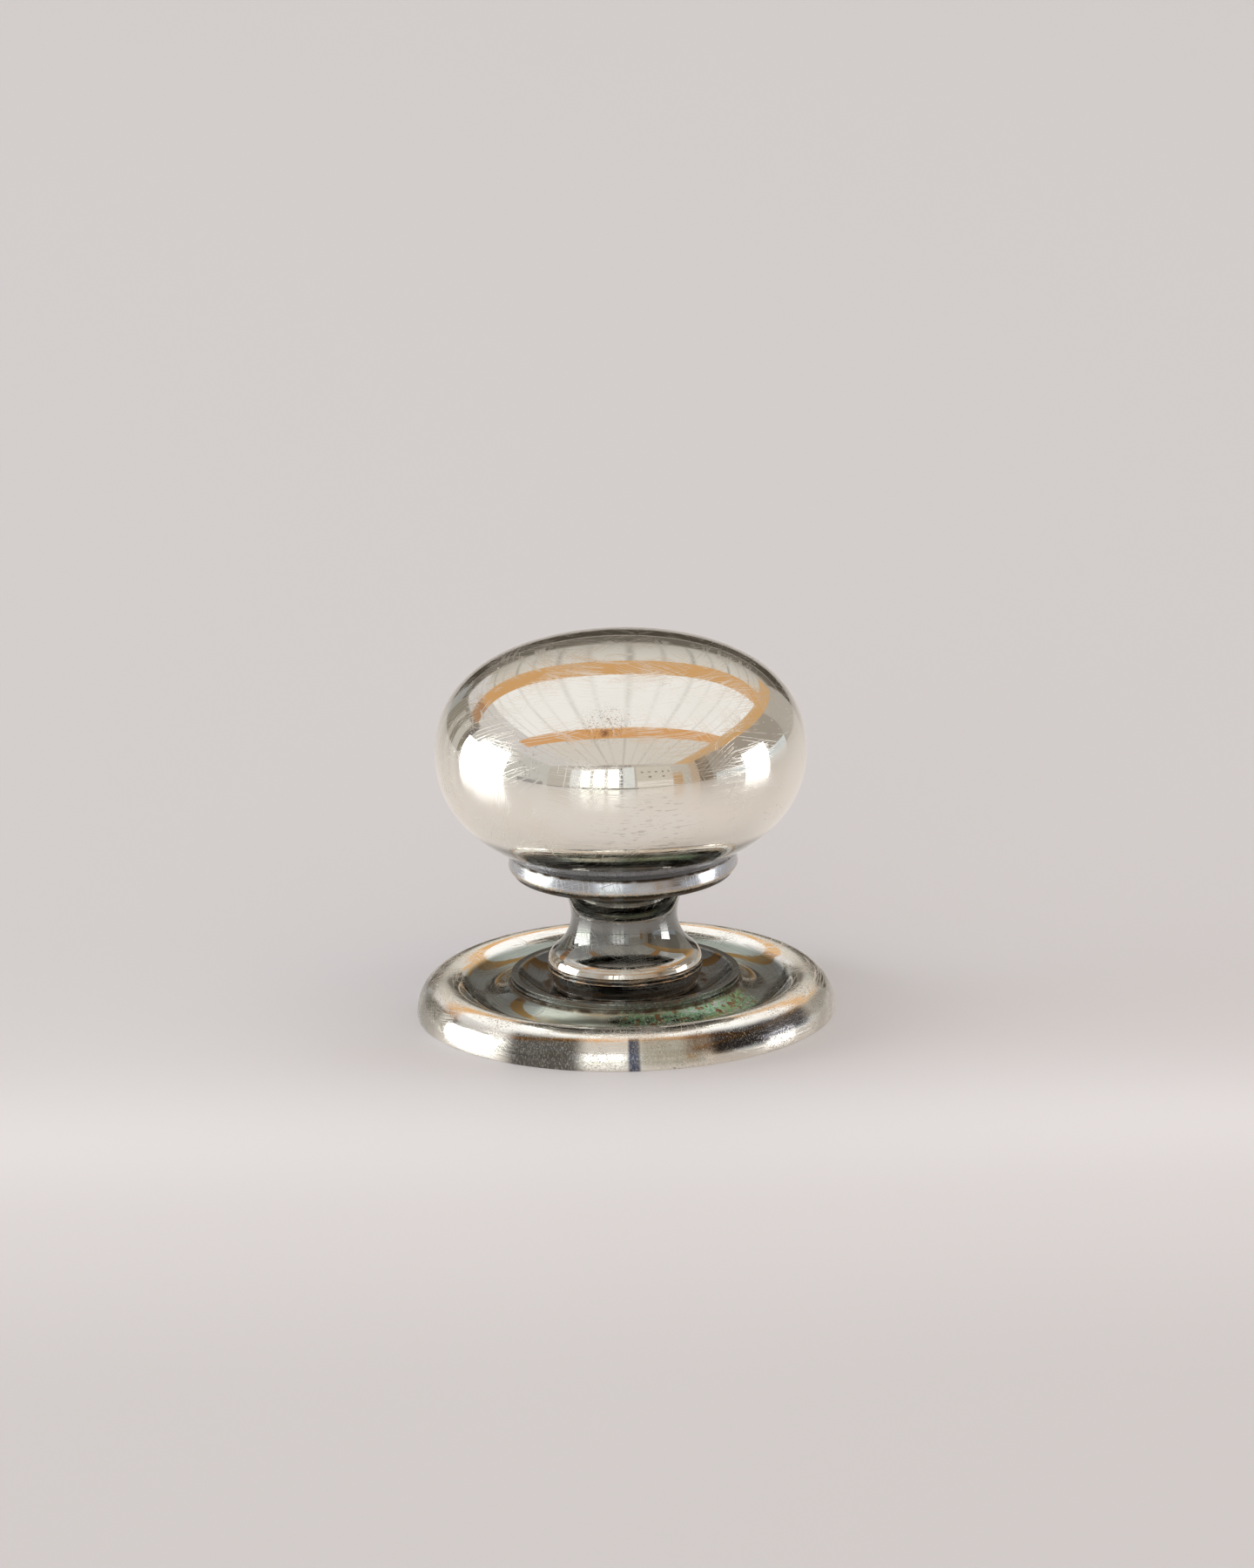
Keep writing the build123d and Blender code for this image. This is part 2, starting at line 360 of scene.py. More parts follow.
class Nodes:
    """Short way to add and join nodes in one tree."""

    def __init__(self, tree):
        self.tree = tree
        self.count = 0

    def add(self, kind, inputs=None, **settings):
        """New node with its settings; each input is joined to a socket or set to a value."""
        node = self.tree.nodes.new(kind)
        self.count += 1
        node.location = (200 * (self.count % 9), -220 * (self.count // 9))
        for name, value in settings.items():
            setattr(node, name, value)
        for name, value in (inputs or {}).items():
            self.feed(node.inputs[name], value)
        return node

    def feed(self, socket, value):
        """Joins a socket to another, or sets its value."""
        if isinstance(value, bpy.types.NodeSocket):
            self.tree.links.new(value, socket)
        elif hasattr(socket.default_value, "__len__") and len(value) == 3:
            socket.default_value = (*value, 1.0) if len(socket.default_value) == 4 else value
        else:
            socket.default_value = value

    def maths(self, operation, first, second=0.0, clamp=False):
        """One sum on two numbers."""
        node = self.add("ShaderNodeMath", {0: first, 1: second}, operation=operation, use_clamp=clamp)
        return node.outputs[0]

    def chain(self, operation, values, clamp):
        """The same sum on two or more numbers in turn."""
        result = values[0]
        for value in values[1:]:
            result = self.maths(operation, result, value, clamp)
        return result

    def times(self, *values, clamp=False):
        """Product of numbers."""
        return self.chain("MULTIPLY", values, clamp)

    def plus(self, *values, clamp=False):
        """Sum of numbers."""
        return self.chain("ADD", values, clamp)

    def most(self, *values):
        """Largest of numbers."""
        return self.chain("MAXIMUM", values, False)

    def minus(self, first, second, clamp=False):
        """Difference of two numbers."""
        return self.maths("SUBTRACT", first, second, clamp)

    def between(self, value, low, high, soft):
        """1 where the value lies between low and high, with soft borders."""
        rise = self.ramp(value, low - soft, low + soft)
        return self.times(rise, self.ramp(value, high + soft, high - soft))

    def ramp(self, value, low, high, out_low=0.0, out_high=1.0, smooth=True):
        """Maps low to out_low and high to out_high."""
        numbers = {"Value": value, "From Min": low, "From Max": high, "To Min": out_low, "To Max": out_high}
        blending = "SMOOTHSTEP" if smooth else "LINEAR"
        return self.add("ShaderNodeMapRange", numbers, interpolation_type=blending).outputs["Result"]

    def noise(self, vector, scale, detail=2.0, roughness=0.5, distortion=0.0):
        """Soft noise."""
        numbers = {"Vector": vector, "Scale": scale, "Detail": detail}
        numbers |= {"Roughness": roughness, "Distortion": distortion}
        return self.add("ShaderNodeTexNoise", numbers).outputs["Fac"]

    def mottle(self, vector, scale, low, high, detail=2.0, roughness=0.5):
        """Patches where the noise stands above low, full from high upwards."""
        return self.ramp(self.noise(vector, scale, detail, roughness), low, high)

    def beat(self, value, scale, detail):
        """Noise along one measure, for rings and shells."""
        numbers = {"W": value, "Scale": scale, "Detail": detail}
        return self.add("ShaderNodeTexNoise", numbers, noise_dimensions="1D").outputs["Fac"]

    def stretched(self, vector, turn, scale, place=(0, 0, 0)):
        """Coordinates turned and stretched, for a pattern with a grain."""
        changes = {"Vector": vector, "Location": place, "Rotation": turn, "Scale": scale}
        return self.add("ShaderNodeMapping", changes).outputs["Vector"]

    def split(self, vector):
        """X, Y and Z of a place."""
        return self.add("ShaderNodeSeparateXYZ", {0: vector}).outputs

    def away(self, vector, centre):
        """Distance from a centre."""
        return self.add("ShaderNodeVectorMath", {0: vector, 1: centre}, operation="DISTANCE").outputs["Value"]

    def blend(self, share_of, first, second):
        """Mixes two colours."""
        colours = {"Factor": share_of, 6: first, 7: second}
        return self.add("ShaderNodeMix", colours, data_type="RGBA").outputs[2]


def effect(name, results, **amounts):
    """Empty node group that takes a vector and amounts; gives its nodes, its inputs and its results."""
    group = bpy.data.node_groups.new(name, "ShaderNodeTree")
    group.interface.new_socket("Vector", in_out="INPUT", socket_type="NodeSocketVector")
    for socket, default in amounts.items():
        made = group.interface.new_socket(socket, in_out="INPUT", socket_type="NodeSocketFloat")
        made.default_value = default
    for socket in results:
        group.interface.new_socket(socket, in_out="OUTPUT", socket_type="NodeSocketFloat")
    entry = group.nodes.new("NodeGroupInput")
    leave = group.nodes.new("NodeGroupOutput")
    return Nodes(group), entry.outputs, leave.inputs


def fine_scratches():
    """Hairline scratches in several directions, broken into short runs."""
    nodes, given, result = effect("Fine scratches", ("Mask",), Amount=0.5)
    ways = (
        (0.3, 0.2, 0.5), (1.2, 0.5, 2.1), (2.3, 1.1, 0.9), (0.7, 2.2, 1.6), (1.9, 2.7, 0.1), (2.9, 0.8, 2.6),
    )
    lines = []
    for i, way in enumerate(ways):
        grain = nodes.stretched(given["Vector"], way, (150, 150, 9000 + 900 * i), (0.01 * i, 0.02, 0.03))
        streak = nodes.noise(grain, 1.0, detail=1.0, roughness=0.4, distortion=0.15)
        lines.append(nodes.ramp(streak, 0.665, 0.7))
    patches = nodes.mottle(given["Vector"], 170.0, 0.42, 0.62, detail=3.0)
    nodes.feed(result["Mask"], nodes.times(nodes.most(*lines), patches, given["Amount"]))
    return nodes.tree


def swirl_marks():
    """Close hairline arcs that polishing leaves, as thin shells round far-off centres."""
    nodes, given, result = effect("Swirl marks", ("Mask",), Amount=0.5)
    centres = ((-0.011, -0.024, 0.02), (0.019, -0.017, 0.021), (-0.006, 0.012, 0.046), (0.02, 0.02, 0.012))
    lines = []
    for i, centre in enumerate(centres):
        wobble = nodes.noise(given["Vector"], 60.0 + 10 * i, detail=1.0)
        reach = nodes.plus(nodes.away(given["Vector"], centre), nodes.times(wobble, 0.004))
        thin = nodes.ramp(nodes.beat(reach, 7500.0 + 900 * i, 1.0), 0.63, 0.7)
        broken = nodes.mottle(given["Vector"], 190.0 + 20 * i, 0.5, 0.6)
        lines.append(nodes.times(thin, broken))
    nodes.feed(result["Mask"], nodes.times(nodes.most(*lines), given["Amount"]))
    return nodes.tree


def dust_specks():
    """Scattered specks of dust, each a little round spot of its own size."""
    nodes, given, result = effect("Dust specks", ("Mask",), Scale=900.0, Share=0.1)
    places = {"Vector": given["Vector"], "Scale": given["Scale"]}
    cells = nodes.add("ShaderNodeTexVoronoi", places, feature="F1").outputs
    chance = nodes.add("ShaderNodeSeparateColor", {0: cells["Color"]}).outputs["Red"]
    size = nodes.times(nodes.minus(given["Share"], chance), 3.0)
    spot = nodes.minus(nodes.maths("MINIMUM", size, 0.3), cells["Distance"])
    nodes.feed(result["Mask"], nodes.ramp(spot, 0.0, 0.08))
    return nodes.tree


def place_on_axis():
    """Distance from the axis and height, both in millimetres."""
    nodes, given, result = effect("Place on axis", ("Radius", "Height"))
    x, y, z = nodes.split(given["Vector"])
    flat = nodes.add("ShaderNodeCombineXYZ", {"X": x, "Y": y}).outputs[0]
    reach = nodes.add("ShaderNodeVectorMath", {0: flat}, operation="LENGTH").outputs["Value"]
    nodes.feed(result["Radius"], nodes.times(reach, 1 / MM))
    nodes.feed(result["Height"], nodes.times(z, 1 / MM))
    return nodes.tree


def tarnish():
    """Faint dull clouds in the plating, with small darker specks that gather in places."""
    nodes, given, result = effect("Tarnish", ("Clouds", "Specks"), Amount=0.35)
    clouds = nodes.mottle(given["Vector"], 110.0, 0.4, 0.72, detail=5.0, roughness=0.62)
    grouped = nodes.mottle(given["Vector"], 240.0, 0.6, 0.7)
    fine = nodes.mottle(given["Vector"], 2600.0, 0.57, 0.66, detail=3.0, roughness=0.6)
    nodes.feed(result["Clouds"], nodes.times(clouds, given["Amount"]))
    nodes.feed(result["Specks"], nodes.times(grouped, fine, given["Amount"]))
    return nodes.tree


def pitting():
    """Height of a pitted and rippled plated casting."""
    nodes, given, result = effect("Pitting", ("Height", "Pits"), Amount=0.5)
    ripple = nodes.noise(given["Vector"], 4200.0, detail=3.0, roughness=0.6)
    pits = nodes.mottle(given["Vector"], 6000.0, 0.56, 0.66)
    sunk = nodes.times(pits, nodes.mottle(given["Vector"], 260.0, 0.4, 0.62))
    height = nodes.minus(nodes.times(ripple, 0.5), sunk)
    nodes.feed(result["Height"], nodes.times(height, given["Amount"]))
    nodes.feed(result["Pits"], nodes.times(sunk, given["Amount"]))
    return nodes.tree


def effects():
    """The shared effects, each made once."""
    found = {}
    for maker in (fine_scratches, swirl_marks, dust_specks, place_on_axis, tarnish, pitting):
        name = maker.__name__.replace("_", " ").capitalize()
        found[maker.__name__] = bpy.data.node_groups.get(name) or maker()
    return found


# Finish


SPECK_TONE, DUST_TONE, PIT_TONE = (0.25, 0.23, 0.2), (0.9, 0.88, 0.85), (0.2, 0.17, 0.14)
CLOUDED = (0.9, 0.87, 0.82)     # share of the clean metal's colour in its dull clouds
DEEP_CLOUDED = (0.66, 0.6, 0.5)


def new_material(name):
    """Metal with its Principled shader, its nodes and its Object coordinates."""
    material = bpy.data.materials.new(name)
    material.use_nodes = True
    nodes = Nodes(material.node_tree)
    shader = material.node_tree.nodes["Principled BSDF"]
    shader.inputs["Metallic"].default_value = 1.0
    where = nodes.add("ShaderNodeTexCoord").outputs["Object"]
    return material, nodes, shader, where


def dress(nodes, shader, tone, rough, height, strength, relief):
    """Gives the shader its colour, its roughness and a relief in metres."""
    bump = nodes.add("ShaderNodeBump", {"Strength": strength, "Distance": relief, "Height": height})
    nodes.feed(shader.inputs["Base Color"], tone)
    nodes.feed(shader.inputs["Roughness"], rough)
    nodes.feed(shader.inputs["Normal"], bump.outputs["Normal"])


def use(nodes, group, **inputs):
    """Puts a shared effect in the material and gives its outputs."""
    node = nodes.tree.nodes.new("ShaderNodeGroup")
    node.node_tree = group
    for name, value in inputs.items():
        nodes.feed(node.inputs[name], value)
    return node.outputs


def corner_grime(nodes, spot, corners):
    """Mask of dirt near the given circles, each with its radius, height and reach in millimetres."""
    found = []
    for radius, height, reach in corners:
        across = nodes.maths("POWER", nodes.minus(spot["Radius"], radius), 2.0)
        along = nodes.maths("POWER", nodes.minus(spot["Height"], height), 2.0)
        found.append(nodes.ramp(nodes.maths("SQRT", nodes.plus(across, along)), reach, reach * 0.2))
    return nodes.most(*found)


def gathered(nodes, where, centre, reach):
    """1 at a place in millimetres, fading out to nothing at the reach."""
    away = nodes.away(where, tuple(c * MM for c in centre))
    return nodes.ramp(away, reach * MM, reach * 0.3 * MM)


def bearing(nodes, where):
    """Angle round the axis in degrees, from the front towards the right."""
    x, y, _ = nodes.split(where)
    return nodes.times(nodes.maths("ARCTAN2", x, nodes.times(y, -1.0)), 180 / pi)


def zones(nodes, measure, table_of):
    """Mask, colour and added roughness of each zone."""
    found = []
    for low, high, soft, depth, tone, dulled in table_of.values():
        found.append((nodes.times(nodes.between(measure, low, high, soft), depth), tone, dulled))
    return found


def nickel(name, finish, corners, aged, worn_and_painted, pitted=None, polish=0.012):
    """Polished nickel plate with tarnished places darkened further as painted shade, painted highlights and
    reflections, wear, scratches, dust, clouds, grime and a pitted rim.
    """
    parts = effects()
    material, nodes, shader, where = new_material(name)
    spot = use(nodes, parts["place_on_axis"], Vector=where)
    hairs = use(nodes, parts["fine_scratches"], Vector=where, Amount=finish.scratches)["Mask"]
    swirls = use(nodes, parts["swirl_marks"], Vector=where, Amount=finish.scratches)["Mask"]
    dust = use(nodes, parts["dust_specks"], Vector=where, Scale=1300.0, Share=0.07)["Mask"]
    dull = use(nodes, parts["tarnish"], Vector=where, Amount=finish.tarnish)
    clouds, specks = dull["Clouds"], dull["Specks"]
    marks = nodes.most(hairs, swirls)
    patchy = nodes.mottle(where, 700.0, 0.3, 0.6, detail=3.0)
    grime = nodes.times(corner_grime(nodes, spot, corners), patchy, clamp=True)
    patches = worn_and_painted(nodes, spot, where)

    metal = tuple(finish.metal)
    tone = nodes.blend(clouds, metal, tuple(c * k for c, k in zip(metal, CLOUDED)))
    # Darkening towards the aged colour: tarnish, and painted shade in the recesses
    tone = nodes.blend(aged(nodes, spot, where), tone, tuple(finish.aged))
    # The zones and marks of each piece, among them painted shade, painted highlights and painted reflections
    for mask, stain, _ in patches:
        tone = nodes.blend(mask, tone, stain)
    tone = nodes.blend(specks, tone, SPECK_TONE)
    tone = nodes.blend(grime, tone, tuple(finish.grime))
    tone = nodes.blend(nodes.times(dust, 0.5), tone, DUST_TONE)

    dulling = [(clouds, 0.1), (marks, 0.42)] + [(mask, dulled) for mask, _, dulled in patches]
    dulling += [(dust, 0.5), (specks, 0.35), (grime, 0.5)]
    rough = nodes.plus(polish, *(nodes.times(mask, dulled) for mask, dulled in dulling), clamp=True)
    height = nodes.minus(nodes.times(dust, 0.6), nodes.times(marks, 0.5))
    if pitted:
        zone = pitted(nodes, spot)
        cast = use(nodes, parts["pitting"], Vector=where, Amount=finish.pitting)
        pits = nodes.times(cast["Pits"], zone)
        tone = nodes.blend(nodes.times(pits, 0.8), tone, PIT_TONE)
        rough = nodes.plus(rough, nodes.times(pits, 0.5), nodes.times(zone, 0.04), clamp=True)
        height = nodes.plus(height, nodes.times(cast["Height"], zone, 2.2))
    dress(nodes, shader, tone, rough, height, 0.5, 0.02 * MM)
    return material


def turned_back(finish):
    """Bare turned face with the fine rings that the cutting tool leaves."""
    parts = effects()
    material, nodes, shader, where = new_material("turned back")
    spot = use(nodes, parts["place_on_axis"], Vector=where)
    rings = nodes.beat(spot["Radius"], 7.0, 2.0)
    hairs = use(nodes, parts["fine_scratches"], Vector=where, Amount=finish.scratches)["Mask"]
    dull = use(nodes, parts["tarnish"], Vector=where, Amount=1.0)
    clean = tuple(c * 0.9 for c in finish.metal)
    tone = nodes.blend(dull["Clouds"], clean, tuple(c * k for c, k in zip(finish.metal, DEEP_CLOUDED)))
    tone = nodes.blend(dull["Specks"], tone, (0.2, 0.17, 0.13))
    rough = nodes.plus(nodes.ramp(rings, 0.3, 0.7, 0.22, 0.36), nodes.times(dull["Clouds"], 0.15))
    rough = nodes.plus(rough, nodes.times(hairs, 0.15), clamp=True)
    height = nodes.minus(rings, nodes.times(hairs, 0.5))
    dress(nodes, shader, tone, rough, height, 0.6, 0.03 * MM)
    return material


def thread(finish):
    """Tapped hole: a helix of 0.7 mm pitch, oily and dull."""
    material, nodes, shader, where = new_material("tapped thread")
    pitch, relief = 0.7 * MM, 0.35 * MM
    x, y, z = nodes.split(where)
    turn = nodes.maths("DIVIDE", nodes.maths("ARCTAN2", y, x), 2 * pi)
    climb = nodes.minus(nodes.maths("DIVIDE", z, pitch), turn)
    flank = nodes.maths("PINGPONG", climb, 0.5)
    stain = nodes.noise(where, 900.0, detail=3.0)
    deep = nodes.blend(nodes.ramp(stain, 0.35, 0.7), (0.42, 0.37, 0.3), (0.2, 0.16, 0.11))
    tone = nodes.blend(nodes.ramp(flank, 0.05, 0.4), deep, tuple(finish.metal))
    dress(nodes, shader, tone, nodes.ramp(stain, 0.3, 0.7, 0.25, 0.45), flank, 1.0, relief)
    return material


# Stains and painted shade of the knob


# Corners that hold grime: radius, height above the seat and reach in millimetres
KNOB_CORNERS = {
    "upper line": (7.85, 2.6, 0.14),
    "lower line": (7.85, 2.1, 0.14),
    "foot": (7.1, 0.0, 0.5),
    "square ring": (11.2, 12.4, 0.35),
    "collar's top": (11.4, 14.2, 0.3),
}

# Bands that rubbing has kept cleaner, where less tarnish and painted shade is laid: lowest and highest place
# in millimetres, softness and share
KNOB_RUBBED = {
    "collar": (15.75, 17.05, 0.05, 0.25),
    "swell": (5.5, 6.8, 0.2, 0.6),
    "cove": (12.5, 14.7, 0.3, 0.55),
    "foot": (0.0, 4.7, 0.3, 0.45),
}

# Darkened and dulled zones: the same numbers, then colour and added roughness. The lip, undercut, square ring
# and neck colours are painted shade and painted dark reflections under the head and collar and in the neck;
# the satin collar's darker bluish tone is partly painted shade.
KNOB_ZONES = {
    "satin collar": (15.9, 17.0, 0.05, 0.8, (0.46, 0.47, 0.52), 0.17),
    "lip": (18.1, 20.6, 0.4, 0.5, (0.12, 0.12, 0.115), 0.0),
    "cove": (12.5, 14.7, 0.3, 0.6, (0.45, 0.45, 0.44), 0.08),
    "neck": (8.6, 12.2, 0.5, 0.55, (0.18, 0.178, 0.178), 0.0),
    "square ring": (14.78, 15.5, 0.05, 0.8, (0.05, 0.05, 0.047), 0.0),
    "foot": (0.0, 4.9, 0.3, 0.7, (0.6, 0.6, 0.59), 0.2),
    "undercut": (17.12, 18.05, 0.03, 0.85, (0.05, 0.047, 0.042), 0.0),
}

# Marks on the front of the head: middle and reach in millimetres
STROKES = ((2.5, -18.5, 24.5), 7.0)
SPECKS = ((-1.6, -15.2, 34.9), 3.2)
RUST = ((-1.55, -15.95, 34.1), 0.8)


def knob_tarnish_and_shade(nodes, spot, where):
    """The neck, the collar and the head's underside are darkened, partly as tarnish and partly as painted
    shade under the head; the rubbed bands less.
    """
    height = spot["Height"]
    # Painted shade under the head, fading in above the lip
    under = nodes.ramp(height, 21.5, 20.0, 0.0, 0.9)
    stem = nodes.most(nodes.ramp(height, 18.35, 18.0), under)
    bands = [nodes.times(nodes.between(height, *band), part) for *band, part in KNOB_RUBBED.values()]
    cleaner = nodes.ramp(nodes.noise(where, 500.0, detail=4.0), 0.45, 0.7, 0.0, 0.15)
    return nodes.minus(stem, nodes.times(nodes.plus(*bands, cleaner), stem), clamp=True)


def knob_stains_and_painted_shade(nodes, spot, where):
    """Its zones with their painted shade, a brown edge under the collar, warm rings on the swell, and marks
    on the head.
    """
    height = spot["Height"]
    fine = nodes.noise(where, 3500.0, detail=3.0)
    edge = nodes.times(nodes.between(height, 15.5, 15.95, 0.1), nodes.ramp(fine, 0.45, 0.6))
    rings = nodes.ramp(nodes.beat(height, 7.0, 3.0), 0.45, 0.6)
    rings = nodes.times(nodes.between(height, 4.4, 6.6, 0.2), rings, nodes.mottle(where, 600.0, 0.35, 0.6))
    slanting = nodes.stretched(where, (0, radians(50), 0), (800, 800, 4600))
    strokes = nodes.times(gathered(nodes, where, *STROKES), nodes.mottle(slanting, 1.0, 0.58, 0.66), 0.5)
    specks = nodes.mottle(where, 5200.0, 0.54, 0.62, detail=3.0)
    specks = nodes.times(gathered(nodes, where, *SPECKS), specks, 0.6)
    rust = nodes.times(gathered(nodes, where, *RUST), nodes.ramp(fine, 0.35, 0.5))
    # The zones bring painted shade under the head and collar and in the neck
    return zones(nodes, height, KNOB_ZONES) + [
        (edge, (0.5, 0.39, 0.28), 0.25),
        (rings, (0.56, 0.4, 0.26), 0.1),
        (strokes, (0.42, 0.38, 0.34), 0.15),
        (specks, (0.3, 0.25, 0.2), 0.2),
        (rust, (0.2, 0.1, 0.06), 0.2),
    ]


# Stains, painted shade, painted highlight and painted reflections of the back plate


# Corners that hold grime, and edges that rubbing keeps bright and free of the painted shade: radius, height
# and reach in millimetres
PLATE_CORNERS = {"ring's foot": (11.9, 3.4, 0.4), "seat": (8.0, 2.9, 0.7)}
BRIGHT_EDGES = {"outer": (11.65, 4.18, 0.13), "inner": (10.9, 4.18, 0.1), "step": (11.75, 3.76, 0.1)}

# Darkened zones: the hollow greenish, partly patina and partly painted shade; the dish and the ring nearly
# black, as painted shade and painted dark reflections. Least and greatest radius in millimetres, softness,
# depth, colour and added roughness
PLATE_ZONES = {
    "hollow": (11.9, 16.9, 0.3, 0.85, (0.33, 0.36, 0.32), 0.01),
    "dish": (0.0, 10.8, 0.1, 0.95, (0.055, 0.053, 0.049), 0.01),
    "ring": (10.85, 11.9, 0.03, 0.85, (0.06, 0.058, 0.052), 0.0),
}

# Painted reflections on the rim's outer side, laid in a fine tarnish speckle: first and last bearing in
# degrees, softness, lowest height in millimetres, depth and colour
FLANK_REFLECTIONS_AND_TARNISH = {
    "dark left": (-35, -13, 3, 0.0, 0.95, (0.09, 0.085, 0.075)),
    "blue line": (0.4, 3.6, 0.5, 0.0, 0.97, (0.07, 0.08, 0.13)),
    "olive film": (3.6, 22, 2, 0.5, 0.7, (0.36, 0.34, 0.27)),
    "brown edge": (17, 29, 3, 1.5, 0.85, (0.2, 0.13, 0.08)),
    "dark right": (24, 45, 3, 1.1, 1.0, (0.045, 0.042, 0.045)),
    "grey right": (42, 62, 4, 1.4, 0.95, (0.09, 0.09, 0.105)),
}


def flank_reflections_and_tarnish(nodes, spot, where):
    """Painted reflections in stretches in front, and darker clouds on the far side, partly tarnish and partly
    painted shade, all in a fine upright speckle.
    """
    way = bearing(nodes, where)
    flank = nodes.times(nodes.ramp(spot["Height"], 3.35, 2.85), nodes.ramp(spot["Radius"], 18.6, 19.0))
    upright_grain = nodes.stretched(where, (0, 0, 0), (9500, 9500, 2600))
    speckle = nodes.ramp(nodes.noise(upright_grain, 1.0, detail=3.0, roughness=0.6), 0.38, 0.48, 0.65, 1.0)
    shown = nodes.times(flank, speckle)
    found = []
    # Each stretch is a painted reflection on the rim's outer side
    for first, last, soft, low, depth, tone in FLANK_REFLECTIONS_AND_TARNISH.values():
        zone = nodes.between(way, first, last, soft)
        if low:
            zone = nodes.times(zone, nodes.ramp(spot["Height"], low - 0.3, low + 0.3))
        found.append((nodes.times(zone, depth, shown), tone, 0.03))
    # Darker clouds on the far side: partly tarnish, partly painted shade
    away = nodes.ramp(nodes.maths("ABSOLUTE", way), 62.0, 70.0)
    clouds = nodes.ramp(nodes.noise(where, 110.0, detail=4.0), 0.36, 0.66, 0.0, 0.8)
    return found + [(nodes.times(away, clouds, shown), (0.24, 0.225, 0.2), 0.04)]


def plate_rim(nodes, spot):
    """Where the rim is pitted, most on its outer side."""
    flank = nodes.ramp(spot["Radius"], 17.6, 19.2, 0.25, 1.0)
    return nodes.times(flank, nodes.ramp(spot["Radius"], 16.6, 17.8))


def plate_tarnish_and_shade(nodes, spot, where):
    """All inside the rim is darkened, partly as tarnish and partly as painted shade, but the ring's corners.
    """
    inside = nodes.ramp(spot["Radius"], 16.9, 16.3)
    bright = corner_grime(nodes, spot, BRIGHT_EDGES.values())
    rubbed = nodes.times(bright, nodes.mottle(where, 1800.0, 0.35, 0.6, detail=3.0))
    return nodes.minus(inside, nodes.times(rubbed, inside))


def plate_stains_and_painted_light(nodes, spot, where):
    """Greenish darkened hollow with painted dark reflections on its sides, nearly black dish and ring as
    painted shade, a painted highlight on the pale crest, a painted pale green reflection in the front of the
    hollow, a run of green, brown and pale spots, and painted reflections on the rim's outer side.
    """
    radius, way = spot["Radius"], bearing(nodes, where)
    hollow, dish, ring = zones(nodes, radius, PLATE_ZONES)
    # Painted dark reflections on the hollow's left and right sides
    sides = nodes.between(nodes.maths("ABSOLUTE", way), 55, 124, 12)
    sides = nodes.times(sides, nodes.between(radius, 11.9, 16.6, 0.25), 0.85)
    # Painted highlight: the rim's crest made paler
    crest = nodes.times(nodes.ramp(radius, 16.3, 17.0), nodes.ramp(spot["Height"], 2.7, 3.2), 0.9)
    front = nodes.between(radius, 11.9, 14.6, 0.4)
    # Painted reflection: a pale green stretch in the front left of the hollow
    film = nodes.times(nodes.between(way, -44, -6, 5), front, 0.9)
    near = nodes.times(nodes.between(way, -2, 72, 6), front)
    green = nodes.times(near, nodes.mottle(where, 2600.0, 0.42, 0.56, detail=4.0, roughness=0.6))
    brown = nodes.times(near, nodes.mottle(where, 1100.0, 0.56, 0.64, detail=3.0))
    pale = nodes.times(near, nodes.mottle(where, 4200.0, 0.6, 0.66))
    return [
        hollow,
        (sides, (0.075, 0.075, 0.068), 0.0),
        dish,
        ring,
        (crest, (1.0, 0.98, 0.93), 0.04),
        (film, (0.74, 0.8, 0.71), 0.3),
        (green, (0.22, 0.44, 0.26), 0.3),
        (brown, (0.24, 0.14, 0.07), 0.3),
        (pale, (0.66, 0.7, 0.6), 0.4),
        *flank_reflections_and_tarnish(nodes, spot, where),
    ]


# Stage


def card(name, corners, light, strength=1.0, lower=None):
    """Flat glowing card seen only in reflections, with another tone at its foot if lower is given."""
    deselect_all()
    bpy.ops.mesh.primitive_plane_add(size=1)
    made = bpy.context.object
    made.name = made.data.name = name
    for vertex, corner in zip(made.data.vertices, (corners[0], corners[1], corners[3], corners[2])):
        vertex.co = corner
    made.data.update()
    material = bpy.data.materials.new(name)
    material.use_nodes = True
    tree = material.node_tree
    tree.nodes.clear()
    nodes = Nodes(tree)
    glow = nodes.add("ShaderNodeEmission", {"Color": light, "Strength": strength})
    if lower:
        height = nodes.split(nodes.add("ShaderNodeTexCoord").outputs["Object"])["Z"]
        foot, top = corners[0][2], corners[2][2]
        rise = nodes.ramp(height, foot, (foot + top) / 2, smooth=False)
        nodes.feed(glow.inputs["Color"], nodes.blend(rise, lower, light))
    out = nodes.add("ShaderNodeOutputMaterial")
    tree.links.new(glow.outputs[0], out.inputs["Surface"])
    made.data.materials.append(material)
    made.visible_camera = False
    made.visible_shadow = False
    return made


def boarded(ceiling, tone, seam, far=None):
    """Seams between the boards, running away from the camera; their far end may have another tone."""
    tree = ceiling.data.materials[0].node_tree
    nodes = Nodes(tree)
    glow = next(n for n in tree.nodes if n.type == "EMISSION")
    spot = nodes.split(nodes.add("ShaderNodeTexCoord").outputs["Object"])
    board_width = 0.26
    across = nodes.maths("FRACT", nodes.maths("DIVIDE", spot["X"], board_width))
    main = nodes.between(across, 0.1, 0.18, 0.06)
    second = nodes.times(nodes.between(across, 0.58, 0.64, 0.05), 0.6)
    board = tone
    if far:
        depths = [vertex.co.y for vertex in ceiling.data.vertices]
        board = nodes.blend(nodes.ramp(spot["Y"], min(depths), max(depths), smooth=False), tone, far)
    nodes.feed(glow.inputs["Color"], nodes.blend(nodes.plus(main, second, clamp=True), board, seam))


def upright(x0, y0, x1, y1, low, high):
    """Corners of an upright card between two places on the table."""
    return [(x0, y0, low), (x1, y1, low), (x1, y1, high), (x0, y0, high)]


def level(x0, x1, y0, y1, height):
    """Corners of a level card."""
    return [(x0, y0, height), (x1, y0, height), (x1, y1, height), (x0, y1, height)]


